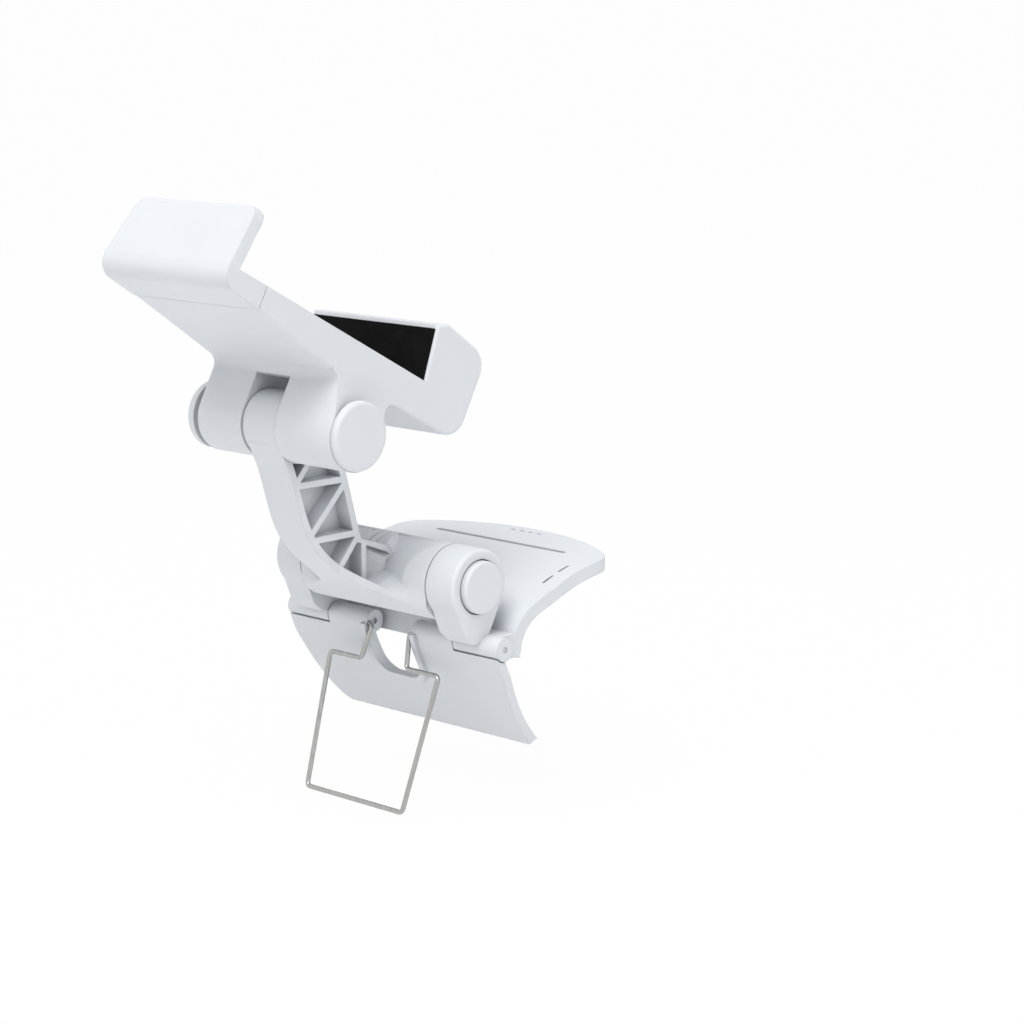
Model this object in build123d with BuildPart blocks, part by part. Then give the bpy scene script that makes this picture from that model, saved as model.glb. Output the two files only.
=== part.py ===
from build123d import *
from math import cos, radians, sin
import os

# Controller phone clip, in millimetres. The frame's origin is the middle of the front hinge pin,
# +X runs along the hinges, +Y towards the player and +Z up. Side views are (Y, Z).

# Hinge lines, seen from the side
PIN = (0.0, 0.0)
HINGE = (-2.8, 15.2)
TILT = (-36.7, 55.4)
CLAMP_SLOPE = 28.3

# Clearances
SNUG = 0.01
RUN = 0.05
GAP = 0.3

# Saddle shell, a line over the controller's nose from the front edge to the rear edge
SHELL_LINE = [(4.6, -2.9), (5.2, 0.2), (6.6, 3.6), (10.0, 7.0), (16.5, 9.9), (28.0, 13.9),
              (38.0, 15.5), (53.0, 16.6)]
SHELL_WALL = 2.2
SHELL_HALF = 36.0
SHELL_CORNER_CUT = (4.5, 8.0)
SHELL_BACK = (42.0, 50.5)
SHELL_BOTTOM = -10.0
RIM_WIDTH = (2.4, 5.0)
RIM_WIDEN_Y = (8.0, 36.0)
RIM_RISE = 1.0
SLOT_LENGTH = 46.0
SLOT_WIDTH = 1.3
SLOT_Y = 37.3
SLIT_LENGTH = 3.8
SLIT_WIDTH = 0.7
SLIT_IN = 5.0
SLIT_Y = (22.2, 27.9)
SOUND_SLOTS = 4
SOUND_PITCH = 3.1
SOUND_LENGTH = 1.7
SOUND_Y = 47.3

# Front hinge: eyes on the saddle, knuckles on the plate
EYE_R = 2.9
EYE_OUT = 1.5
PIN_R = 0.75
NOTCH_HALF = 8.0
NOTCH_DEPTH = 13.0
NOTCH_CORNER = 4.5

# Lower hinge: barrel of the arm between two lugs
BARREL_HALF = 22.2
BARREL_R = 9.3
SCOOP_R = 6.4
SCOOP_END = 2.6
SCOOP_RISE = 0.45
SCOOP_TILT = 6.0
LUG_R = 9.3
LUG_WIDTH = 9.2
LUG_ARC = (-16, 238)
LUG_FOOT = [(-7.4, 3.4), (-4.4, 0.9), (-0.2, 0.6)]
LUG_EDGE = 0.9
BUTTON_R = 6.5
BUTTON_PROUD = 1.7
BUTTON_EDGE = 0.7
PIVOT_PROUD = 0.8
AXLE_R = 1.5
AXLE_HEAD_R = 2.7
AXLE_HEAD = 1.4
CAP_SEAT = 1.5
HEAD_SEAT = 3.2

# Locking ring, the same at both hinges
RING_SOCKET = 3.4
RING_R = 6.0
RING_WALL = 1.3
RING_KEYS = 6
RING_KEY_W = 2.0
RING_KEY_H = 0.8
TOOTH_H = 0.4
TOOTH_COUNT = 12
TOOTH_R = 5.3
TOOTH_SIZE = 1.1
LEG_COUNT = 3
LEG_R = 3.7
LEG_WIDTH = 1.8
LEG_DEPTH = 1.2
WEB_WALL = 2.0
SPRING_R = 2.9
SPRING_WIRE = 0.35
SPRING_BORE = 3.6
SPRING_LENGTH = 5.6
SPRING_TURNS = 4
PRESS_ROOM = 1.6

# Arm
ARM_HALF = 5.6
ARM_KNUCKLE_R = 8.2
ARM_WEB = 2.4
ARM_FLANGE = 1.8
ARM_RIB = 1.6
ARM_BACK = [(-44.0, 51.6), (-40.6, 45.4), (-38.2, 38.0), (-35.4, 30.0), (-31.0, 23.4),
            (-23.6, 17.3), (-15.6, 12.2), (-7.8, 6.4)]
ARM_FRONT = [(-28.7, 56.6), (-24.6, 49.0), (-22.0, 42.0), (-19.9, 34.5), (-17.2, 25.6)]
ARM_LEDGE = (-8.4, 22.8)
ZIGZAG = [(-33.0, 47.6), (-38.6, 41.2), (-21.6, 41.0), (-35.0, 27.2), (-17.6, 27.3), (-26.2, 17.2)]
END_RIB_Y = -16.4
FAN_START = -28.0
FAN_END = -10.5

# Clamp, drawn on its own sloping frame with its origin on the upper hinge:
# S runs down the phone, T points towards the phone
CLAMP_HALF = 22.0
KNUCKLE_R = 8.6
KNUCKLE_LEFT = CLAMP_HALF - 0.5
KNUCKLE_RIGHT = CLAMP_HALF + 3.1
NECK_BEND_R = 2.8
NECK_ROOT = 0.8
KNUCKLE_RECESS_T = 13.5
PHONE_T = 20.7
BACK_T = 11.7
SEAM_S = -38.3
SEAM_BACK_T = 14.9
SLOPE_END_S = -11.6
JAW_S = 17.7
JAW_LEAN = 2.3
JAW_LIP_T = 34.4
JAW_RIDGE = (18.8, 36.0)
JAW_FALL_T = 34.1
JAW_END_S = 34.9
JAW_BEND_R = 5.8
JAW_RIDGE_R = 1.6
CLAMP_EDGE = 0.9
CAP_R = 8.3
CAP_WALL = 1.7
CAP_EDGE = 1.0
DISC_LENGTH = 2.5
NECK_LENGTH = 2.0

# Slider inside the clamp
CHANNEL_EDGE = 4.4
CHANNEL_FLOOR_T = 16.1
CHANNEL_END_S = 13.0
COVER_WALL = 1.8
COVER_EDGE = 2.6
TONGUE_IN = 5.4
TONGUE_END_S = 9.0
LIP_WALL = 3.0
LIP_TIP_T = 36.3
LIP_LEAN = 3.0
LIP_HALF = 20.6
LIP_CORNER = 4.0
LIP_EDGE = 1.2
LIP_PAD_RIM = 1.6
HEEL_S = -50.6
HEEL_T = 15.9
HEEL_BEND_R = 4.0
SEAM_GAP = 0.1
SCREW_R = 1.0
SCREW_HEAD_R = 1.9
SCREW_EDGE = 2.2
SCREW_S = (-31.0, 9.0)
SCREW_DEPTH = 2.6
DRAW_SPRING_R = 0.95
DRAW_SPRING_WIRE = 0.22
DRAW_SPRING_X = 2.7
DRAW_BAR_S = -15.0
DRAW_BAR_WALL = 1.8
ANCHOR_S = 9.8

# Rubber
PAD_WALL = 1.2
PAD_PROUD = 0.3
PAD_RIM = 0.6
PAD_DEPTH = PAD_WALL - PAD_PROUD
PAD_REACH = (0.01, 0.92)
PAD_HALF = 24.0
SADDLE_PAD_Y = (15.0, 35.0)
PLATE_PAD_Z = (-26.0, -16.0)

# Front plate, a line from its lower edge up to the pin
PLATE_LINE = [(14.4, -27.6), (8.6, -21.6), (4.3, -15.6), (0.9, -9.6), (-1.6, -4.4), (-2.9, 0.0)]
PLATE_WALL = 2.3
PLATE_TOP_HALF = SHELL_HALF + 1.2
PLATE_LOW_HALF = PLATE_TOP_HALF - 4.6
PLATE_SHOULDER_Z = -7.0
PLATE_END_Z = -28.6
PLATE_TOP_Z = 4.0
PLATE_CREST_Z = -1.8
PLATE_CORNER = 4.0
NOTCH_RIM = 1.6
NOTCH_RIM_RISE = 0.9

# Wire stand, drawn in its own plane: X and the distance down from its pivot
STAND_PIVOT = (-2.0, -0.3)
STAND_LEAN = 18.0
STAND_WIRE_R = 0.64
STAND_NECK = 6.6
STAND_SHOULDER = 19.5
STAND_FOOT = 17.2
STAND_DROP = 9.0
STAND_LENGTH = 43.6
STAND_BEND_R = 1.2
STAND_HOLE_DEPTH = 1.7
STAND_SPREAD = 1.6

# Torsion springs of the front hinge
CLIP_SPRING_R = 1.5
CLIP_SPRING_WIRE = 0.3
CLIP_SPRING_BORE = 2.2
BEARING = 1.9

SIDE = Plane.YZ
SLOPE = radians(CLAMP_SLOPE)
CLAMP = Plane(origin=(0, *TILT), x_dir=(0, cos(SLOPE), -sin(SLOPE)), z_dir=(1, 0, 0))
FACE = Plane(CLAMP.origin, x_dir=(1, 0, 0), z_dir=CLAMP.y_dir)
LOOK = Plane(CLAMP.origin, x_dir=(1, 0, 0), z_dir=-CLAMP.x_dir)
LUG_IN = BARREL_HALF + GAP
LUG_OUT = LUG_IN + LUG_WIDTH
KNUCKLE_IN = ARM_HALF + GAP
TILT_SHOULDER = -KNUCKLE_IN - WEB_WALL - 2 * PRESS_ROOM
COVER_T = PHONE_T - COVER_WALL
COVER_HALF = CLAMP_HALF - COVER_EDGE
CHANNEL_HALF = COVER_HALF - CHANNEL_EDGE
TONGUE_OUT = CHANNEL_HALF - GAP - 2 * RUN
SCREW_X = COVER_HALF - SCREW_EDGE
LOWER_FACE = [(JAW_S, PHONE_T), (JAW_S - JAW_LEAN, JAW_LIP_T)]
UPPER_FACE = [(HEEL_S + LIP_WALL, PHONE_T), (HEEL_S + LIP_WALL + LIP_LEAN, LIP_TIP_T)]
EYE_END = SHELL_HALF + EYE_OUT
SCREW_SPOTS = [(side * SCREW_X, screw_s) for side in (-1, 1) for screw_s in SCREW_S]

os.makedirs("parts", exist_ok=True)


def shifted(points, distance):
    """Points of a line moved sideways, to the right of its direction."""
    moved = []
    for index, (y, z) in enumerate(points):
        before = Vector(*points[max(index - 1, 0)])
        after = Vector(*points[min(index + 1, len(points) - 1)])
        along = (after - before).normalized()
        moved.append((y + distance * along.Y, z - distance * along.X))
    return moved


def strip(points, near, far):
    """The face between two lines that run beside a curved line."""
    first = shifted(points, near)
    second = shifted(points, far)
    with BuildSketch() as face:
        with BuildLine():
            Spline(*first)
            Line(first[-1], second[-1])
            Spline(*reversed(second))
            Line(second[0], first[0])
        make_face()
    return face.sketch


def bar(centre, radius, start, stop, mode=Mode.ADD):
    """A round bar or bore along X, in the part that is open."""
    with BuildSketch(SIDE.offset(start)) as section:
        with Locations(centre):
            Circle(radius)
    extrude(section.sketch, amount=stop - start, mode=mode)


def block(plane, size, centre, start, stop, mode=Mode.ADD):
    """A box drawn in a side plane and drawn out along X."""
    with BuildSketch(plane.offset(start)) as section:
        with Locations(centre):
            Rectangle(*size)
    extrude(section.sketch, amount=stop - start, mode=mode)


def both_sides():
    """Mirror the open part to the other side."""
    mirror(about=Plane.YZ)


def ring_socket(centre, face, inward):
    """Cut the socket that a locking ring slides in, from the end face of a barrel."""
    depth = face + inward * RING_SOCKET
    bar(centre, RING_R + GAP, face, depth, Mode.SUBTRACT)
    with BuildSketch(SIDE.offset(face)) as keyways:
        with Locations(centre):
            with PolarLocations(RING_R, RING_KEYS):
                Rectangle(2 * (RING_KEY_H + GAP), RING_KEY_W + 2 * GAP)
    extrude(keyways.sketch, amount=depth - face, mode=Mode.SUBTRACT)
    bar(centre, SPRING_BORE, depth, depth + inward * (SPRING_LENGTH + GAP), Mode.SUBTRACT)


def crown(centre, start, stop, offset_step):
    """Locking teeth standing on a face."""
    with BuildSketch(SIDE.offset(start)) as teeth:
        with Locations(centre):
            with PolarLocations(TOOTH_R, TOOTH_COUNT, start_angle=offset_step * 180 / TOOTH_COUNT):
                Trapezoid(TOOTH_SIZE, TOOTH_SIZE, 80, rotation=90)
    extrude(teeth.sketch, amount=stop - start)


def leg_windows(centre, start, stop):
    """Cut the windows in a web that the legs of a button pass through."""
    with BuildSketch(SIDE.offset(start)) as windows:
        with Locations(centre):
            with PolarLocations(LEG_R, LEG_COUNT):
                Rectangle(LEG_DEPTH + 2 * GAP, LEG_WIDTH + 2 * GAP)
    extrude(windows.sketch, amount=stop - start, mode=Mode.SUBTRACT)


def locking_ring(centre, face, outward):
    """The toothed ring of a hinge, in the socket whose mouth is at face."""
    tips = face - outward * TOOTH_H
    front = tips - outward * TOOTH_H
    rear = front - outward * RING_WALL
    bar(centre, RING_R, rear, front)
    with BuildSketch(SIDE.offset(rear)) as keys:
        with Locations(centre):
            with PolarLocations(RING_R, RING_KEYS):
                Rectangle(2 * RING_KEY_H, RING_KEY_W)
    extrude(keys.sketch, amount=front - rear)
    crown(centre, front, tips, 0)
    bar(centre, AXLE_R + GAP, rear, tips, Mode.SUBTRACT)
    return rear


def pad_strip(face_line, near, far, half, mode=Mode.ADD):
    """A sheet along the leaning face of a jaw, from one depth to another."""
    face = Line(*face_line, mode=Mode.PRIVATE)
    low = face @ PAD_REACH[0]
    high = face @ PAD_REACH[1]
    with BuildSketch(CLAMP.offset(-half)) as section:
        with BuildLine():
            Polyline(low + (near, 0), high + (near, 0), high + (far, 0), low + (far, 0),
                     close=True)
        make_face()
    extrude(section.sketch, amount=2 * half, mode=mode)


def outer_edge(edge):
    """Whether an edge of a side face of the clamp is away from the phone and the seam."""
    middle = CLAMP.to_local_coords(edge.center())
    on_seam = abs(middle.X - SEAM_S) < 2 * SEAM_GAP
    on_phone = abs(middle.Y - PHONE_T) < 2 * SEAM_GAP
    return not on_seam and not on_phone


def coil(start, along, radius, wire, length, turns):
    """A helical spring that starts at a point and runs along a direction."""
    pitch = (length - 2 * wire) / turns
    with BuildPart() as spring:
        with BuildLine() as path:
            Helix(pitch=pitch, height=pitch * turns, radius=radius,
                  center=Vector(start) + Vector(along) * wire, direction=along)
        with BuildSketch(Plane(path.line @ 0, z_dir=path.line % 0)):
            RegularPolygon(wire, 6)
        sweep()
    return spring.part


def shell_plan(inset_side, inset_back):
    """The saddle's outline seen from above, with its bowed rear edge, moved inwards."""
    half = SHELL_HALF - inset_side
    corner_x = half - SHELL_CORNER_CUT[0]
    corner_y = SHELL_BACK[0] - inset_back
    side_y = corner_y - SHELL_CORNER_CUT[1]
    with BuildSketch() as plan:
        with BuildLine():
            ThreePointArc((corner_x, corner_y), (0, SHELL_BACK[1] - inset_back),
                          (-corner_x, corner_y))
            Spline((-corner_x, corner_y), (-half, side_y), tangents=[(-1, -0.5), (0, -1)])
            Polyline((-half, side_y), (-half, SHELL_BOTTOM), (half, SHELL_BOTTOM),
                     (half, side_y))
            Spline((half, side_y), (corner_x, corner_y), tangents=[(0, 1), (-1, 0.5)])
        make_face()
    return plan.sketch


# Raised rim: two side bands that widen to the rear and the bar that joins them
with BuildPart() as rim:
    with BuildSketch(SIDE.offset(-SHELL_HALF)):
        add(strip(SHELL_LINE, -RIM_RISE, SHELL_WALL / 2))
    extrude(amount=2 * SHELL_HALF)
    with BuildSketch(Plane.XY.offset(SHELL_BOTTOM)):
        add(shell_plan(0, 0))
        with BuildLine():
            narrow = SHELL_HALF - RIM_WIDTH[0]
            wide = SHELL_HALF - RIM_WIDTH[1]
            Polyline((0, SHELL_BOTTOM), (narrow, SHELL_BOTTOM), (narrow, RIM_WIDEN_Y[0]))
            Spline((narrow, RIM_WIDEN_Y[0]), (wide, RIM_WIDEN_Y[1]), tangents=[(0, 1), (-0.2, 1)])
            Line((wide, RIM_WIDEN_Y[1]), (0, SLOT_Y + SLOT_WIDTH / 2))
            Line((0, SLOT_Y + SLOT_WIDTH / 2), (0, SHELL_BOTTOM))
        make_face(mode=Mode.SUBTRACT)
    extrude(amount=60, mode=Mode.INTERSECT)

# Lug of the right side, standing on its eye
with BuildPart() as lug:
    with BuildSketch(SIDE.offset(LUG_IN)):
        with BuildLine():
            crest = CenterArc(HINGE, LUG_R, *LUG_ARC)
            Polyline(crest @ 1, *LUG_FOOT, crest @ 0)
        make_face()
    extrude(amount=LUG_WIDTH)
    fillet(lug.faces().sort_by(Axis.X)[-1].edges(), LUG_EDGE)

# Saddle: top shell, rim, lugs and eyes
with BuildPart() as saddle:
    with BuildSketch(SIDE.offset(-SHELL_HALF)):
        add(strip(SHELL_LINE, 0, SHELL_WALL))
    extrude(amount=2 * SHELL_HALF)
    with BuildSketch(Plane.XY.offset(SHELL_BOTTOM)):
        add(shell_plan(0, 0))
    extrude(amount=60, mode=Mode.INTERSECT)
    add(rim.part)
    mirror(rim.part, about=Plane.YZ)
    # Long slot, side slits and sound slots
    with BuildSketch(Plane.XY):
        with Locations((0, SLOT_Y)):
            SlotOverall(SLOT_LENGTH, SLOT_WIDTH)
        for slit_y in SLIT_Y:
            with Locations((SHELL_HALF - SLIT_IN, slit_y), (SLIT_IN - SHELL_HALF, slit_y)):
                SlotOverall(SLIT_LENGTH, SLIT_WIDTH, rotation=90)
        with Locations((0, SOUND_Y)):
            with GridLocations(SOUND_PITCH, 1, SOUND_SLOTS, 1):
                SlotOverall(SOUND_LENGTH, SLIT_WIDTH)
    extrude(amount=30, mode=Mode.SUBTRACT)
    add(lug.part)
    with BuildSketch(SIDE.offset(LUG_IN)):
        with Locations(PIN):
            Circle(EYE_R)
        with Locations((SHELL_LINE[1][0] / 2, 0)):
            Rectangle(SHELL_LINE[1][0], 2 * EYE_R)
    extrude(amount=SHELL_HALF - LUG_IN)
    bar(PIN, EYE_R, LUG_IN, EYE_END)
    mirror(about=Plane.YZ)
    # Button pocket on the right, axle seat on the left
    web_out = LUG_IN + WEB_WALL
    bar(HINGE, BUTTON_R + GAP, web_out, LUG_OUT, Mode.SUBTRACT)
    crown(HINGE, LUG_IN, LUG_IN - TOOTH_H, 1)
    leg_windows(HINGE, LUG_IN, web_out)
    bar(HINGE, BUTTON_R + RUN, -LUG_OUT, CAP_SEAT - LUG_OUT, Mode.SUBTRACT)
    bar(HINGE, AXLE_HEAD_R + 4 * RUN, CAP_SEAT - LUG_OUT, HEAD_SEAT - LUG_OUT, Mode.SUBTRACT)
    bar(HINGE, AXLE_R + SNUG, -LUG_OUT, web_out, Mode.SUBTRACT)
    bar(PIN, PIN_R + SNUG, -EYE_END, EYE_END, Mode.SUBTRACT)
saddle.part.label = "saddle"
export_step(saddle.part, "parts/saddle.step")

# Soft strip under the shell
with BuildPart() as saddle_pad:
    with BuildSketch(SIDE.offset(-PAD_HALF)):
        add(strip(SHELL_LINE, SHELL_WALL, SHELL_WALL + PAD_WALL))
        with Locations(((SADDLE_PAD_Y[0] + SADDLE_PAD_Y[1]) / 2, 0)):
            Rectangle(SADDLE_PAD_Y[1] - SADDLE_PAD_Y[0], 60, mode=Mode.INTERSECT)
    extrude(amount=2 * PAD_HALF)
saddle_pad.part.label = "saddle_pad"
export_step(saddle_pad.part, "parts/saddle_pad.step")

# Steel pins of the front hinge
with BuildPart() as hinge_pins:
    bar(PIN, PIN_R, NOTCH_HALF + 0.4, EYE_END - 0.2)
    both_sides()
hinge_pins.part.label = "hinge_pins"
export_step(hinge_pins.part, "parts/hinge_pins.step")

# Steel axle of the lower hinge, with its head in the left lug
with BuildPart() as arm_axle:
    bar(HINGE, AXLE_R, HEAD_SEAT - AXLE_HEAD - LUG_OUT, LUG_IN + WEB_WALL)
    bar(HINGE, AXLE_HEAD_R, HEAD_SEAT - AXLE_HEAD - LUG_OUT, HEAD_SEAT - LUG_OUT)
arm_axle.part.label = "arm_axle"
export_step(arm_axle.part, "parts/arm_axle.step")

# Cap over the axle's head
with BuildPart() as pivot_cap:
    bar(HINGE, BUTTON_R, -LUG_OUT - PIVOT_PROUD, CAP_SEAT - LUG_OUT)
    fillet(pivot_cap.edges().filter_by(GeomType.CIRCLE).sort_by(Axis.X)[0], BUTTON_EDGE)
pivot_cap.part.label = "pivot_cap"
export_step(pivot_cap.part, "parts/pivot_cap.step")


def push_button(centre, outer, shoulder, legs_to):
    """A round button with three legs that reach a locking ring."""
    bar(centre, BUTTON_R, shoulder, outer)
    with BuildSketch(SIDE.offset(shoulder)) as legs:
        with Locations(centre):
            with PolarLocations(LEG_R, LEG_COUNT):
                Rectangle(LEG_DEPTH, LEG_WIDTH)
    extrude(legs.sketch, amount=legs_to - shoulder)


# Push button of the lower hinge
ring_face = BARREL_HALF - 2 * TOOTH_H
with BuildPart() as arm_button:
    push_button(HINGE, LUG_OUT + BUTTON_PROUD, LUG_IN + WEB_WALL + PRESS_ROOM, ring_face + GAP)
    fillet(arm_button.faces().sort_by(Axis.X)[-1].edges(), BUTTON_EDGE)
arm_button.part.label = "arm_button"
export_step(arm_button.part, "parts/arm_button.step")

# Locking ring and spring of the lower hinge
with BuildPart() as arm_gear:
    ring_rear = locking_ring(HINGE, BARREL_HALF, 1)
arm_gear.part.label = "arm_gear"
export_step(arm_gear.part, "parts/arm_gear.step")

spring_foot = BARREL_HALF - RING_SOCKET - SPRING_LENGTH
arm_spring = coil((spring_foot, *HINGE), (1, 0, 0), SPRING_R, SPRING_WIRE,
                  ring_rear - spring_foot - 2 * RUN, SPRING_TURNS)
arm_spring.label = "arm_spring"
export_step(arm_spring, "parts/arm_spring.step")

# Fan that widens the arm's lower flange to the barrel's full width
with BuildPart() as fan:
    with BuildSketch(SIDE.offset(-BARREL_HALF)):
        add(strip(ARM_BACK, 0, -ARM_FLANGE))
    extrude(amount=2 * BARREL_HALF)
    with BuildSketch(Plane.XY):
        with BuildLine():
            edge = Spline((ARM_HALF - 1, FAN_START), (ARM_HALF + 1.0, FAN_START + 6),
                          (ARM_HALF + 4.4, FAN_START + 11.5), (BARREL_HALF - 5, FAN_END - 2.1),
                          (BARREL_HALF + 1, FAN_END))
            Polyline(edge @ 1, (BARREL_HALF + 1, HINGE[0]), (0, HINGE[0]), (0, FAN_START),
                     edge @ 0)
        make_face()
        mirror(about=Plane.YZ)
    extrude(amount=40, mode=Mode.INTERSECT)

# Barrel of the lower hinge, with a smooth scoop on its front at either side of the arm
with BuildPart() as scoop:
    scoop_plane = Plane(origin=(ARM_WEB / 2, *HINGE), x_dir=(1, 0, 0), z_dir=(0, -1, 0))
    scoop_plane = scoop_plane.rotated((0, 0, -SCOOP_TILT))
    reach = BARREL_HALF - ARM_WEB / 2 - SCOOP_END
    with BuildSketch(scoop_plane):
        with BuildLine():
            Line((-ARM_HALF, SCOOP_R), (0, SCOOP_R))
            Spline((0, SCOOP_R), (reach, BARREL_R), tangents=[(1, 0), (1, SCOOP_RISE)])
            end_r = BARREL_R + 3 * SCOOP_END * SCOOP_RISE
            Polyline((reach, BARREL_R), (reach + 3 * SCOOP_END, end_r),
                     (reach + 3 * SCOOP_END, 2 * BARREL_R), (-ARM_HALF, 2 * BARREL_R),
                     (-ARM_HALF, SCOOP_R))
        make_face()
    revolve(axis=Axis(scoop_plane.origin, scoop_plane.x_dir))
    split(bisect_by=Plane.YZ.offset(ARM_WEB / 2), keep=Keep.TOP)
    split(bisect_by=Plane.XZ.offset(-HINGE[0]), keep=Keep.TOP)

with BuildPart() as barrel:
    bar(HINGE, BARREL_R, -BARREL_HALF, BARREL_HALF)
    add(scoop.part, mode=Mode.SUBTRACT)
    mirror(scoop.part, about=Plane.YZ, mode=Mode.SUBTRACT)

# Outline of the arm's plate, and its pockets with the zigzag ribs left standing
with BuildSketch() as arm_outline:
    with BuildLine():
        Spline(*ARM_BACK)
        Polyline(ARM_BACK[-1], HINGE, ARM_LEDGE, ARM_FRONT[-1])
        Spline(*reversed(ARM_FRONT))
        Line(ARM_FRONT[0], ARM_BACK[0])
    make_face()

with BuildSketch() as arm_pockets:
    with BuildLine():
        inner_back = Spline(*shifted(ARM_BACK, -ARM_FLANGE))
        inner_front = Spline(*shifted(ARM_FRONT, ARM_FLANGE))
        Line(inner_back @ 0, inner_front @ 0)
        Polyline(inner_front @ 1, (ARM_LEDGE[0], ARM_LEDGE[1] - ARM_FLANGE), HINGE,
                 inner_back @ 1)
    make_face()
    with Locations(TILT):
        Circle(ARM_KNUCKLE_R + 0.6, mode=Mode.SUBTRACT)
    with Locations(HINGE):
        Circle(SCOOP_R, mode=Mode.SUBTRACT)
    with Locations((END_RIB_Y, HINGE[1])):
        Rectangle(ARM_RIB, 4 * BARREL_R, mode=Mode.SUBTRACT)
    for start, end in zip(ZIGZAG, ZIGZAG[1:]):
        rib = Line(start, end, mode=Mode.PRIVATE)
        with Locations(rib @ 0.5):
            Rectangle(rib.length, ARM_RIB, rotation=rib.tangent_angle_at(0), mode=Mode.SUBTRACT)

# Arm: curved plate with pockets, scooped barrel below, knuckle above
with BuildPart() as arm:
    with BuildSketch(SIDE.offset(-ARM_HALF)):
        add(arm_outline.sketch)
        with Locations(TILT):
            Circle(ARM_KNUCKLE_R)
    extrude(amount=2 * ARM_HALF)
    for side in (-1, 1):
        with BuildSketch(SIDE.offset(side * ARM_HALF)):
            add(arm_pockets.sketch)
        extrude(amount=side * (ARM_WEB / 2 - ARM_HALF), mode=Mode.SUBTRACT)
    add(barrel.part)
    add(fan.part)
    ring_socket(HINGE, BARREL_HALF, -1)
    bar(HINGE, AXLE_R + RUN, -BARREL_HALF, BARREL_HALF, Mode.SUBTRACT)
    ring_socket(TILT, -ARM_HALF, 1)
    bar(TILT, AXLE_R + RUN, -ARM_HALF, ARM_HALF, Mode.SUBTRACT)
arm.part.label = "arm"
export_step(arm.part, "parts/arm.step")

# Tilt knuckles on the back of the clamp; the right one grows wider than the clamp
with BuildSketch() as knuckle_side:
    Circle(KNUCKLE_R)
    with Locations((0, BACK_T / 2)):
        Rectangle(2 * KNUCKLE_R, BACK_T)
    root_s = KNUCKLE_R + NECK_BEND_R
    with Locations((0, BACK_T + (NECK_ROOT - NECK_BEND_R) / 2)):
        Rectangle(2 * root_s, NECK_ROOT + NECK_BEND_R)
    with Locations((-root_s, BACK_T - NECK_BEND_R), (root_s, BACK_T - NECK_BEND_R)):
        Circle(NECK_BEND_R, mode=Mode.SUBTRACT)

with BuildPart() as knuckles:
    with BuildSketch(CLAMP.offset(-KNUCKLE_LEFT)):
        add(knuckle_side.sketch)
    extrude(amount=KNUCKLE_LEFT + KNUCKLE_RIGHT)
    with BuildSketch(LOOK.offset(-2 * KNUCKLE_R)):
        with BuildLine():
            Polyline((KNUCKLE_RIGHT, 0), (KNUCKLE_RIGHT, -KNUCKLE_R), (-KNUCKLE_LEFT, -KNUCKLE_R),
                     (-KNUCKLE_LEFT, BACK_T + NECK_ROOT), (CLAMP_HALF, BACK_T + NECK_ROOT),
                     (CLAMP_HALF, BACK_T))
            Spline((CLAMP_HALF, BACK_T), (KNUCKLE_RIGHT, 0), tangents=[(0, -1), (0, -1)])
        make_face()
    extrude(amount=4 * KNUCKLE_R, mode=Mode.INTERSECT)
    block(CLAMP, (2 * KNUCKLE_R, KNUCKLE_R + KNUCKLE_RECESS_T),
          (0, (KNUCKLE_RECESS_T - KNUCKLE_R) / 2), -KNUCKLE_IN, KNUCKLE_IN, Mode.SUBTRACT)

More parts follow.
